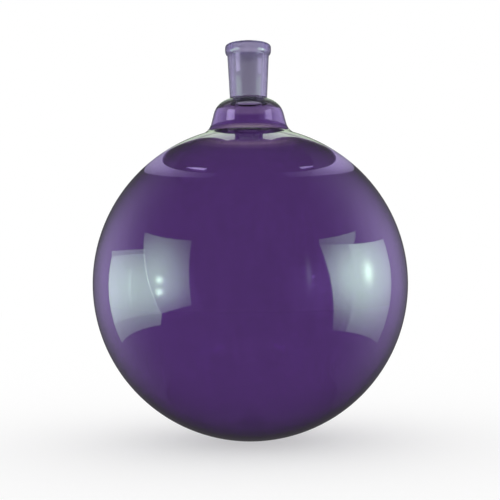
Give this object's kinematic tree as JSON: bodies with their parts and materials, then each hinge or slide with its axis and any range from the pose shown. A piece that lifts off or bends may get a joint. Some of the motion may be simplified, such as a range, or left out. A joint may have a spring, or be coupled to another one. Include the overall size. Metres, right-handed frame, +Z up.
{
  "type": "round-bottom flask",
  "caption": "Spherical laboratory flask with a short flared collar and a narrow ground-glass socket with a rolled bead, for boiling and distilling.",
  "frame": {"origin": "lowest point of the bulb, where it sits in its support ring or heating mantle", "axes": "+Z up along the axis of the bulb, collar and socket; the flask is a body of revolution, so X and Y are free"},
  "size_m": [0.223, 0.223, 0.283],
  "materials": {
    "borosilicate_glass": "clear blown glass with a violet cast, fire-polished; the inside of the socket is ground matt"
  },
  "bodies": {
    "root": {"flask": "borosilicate_glass"}
  },
  "joints": []
}
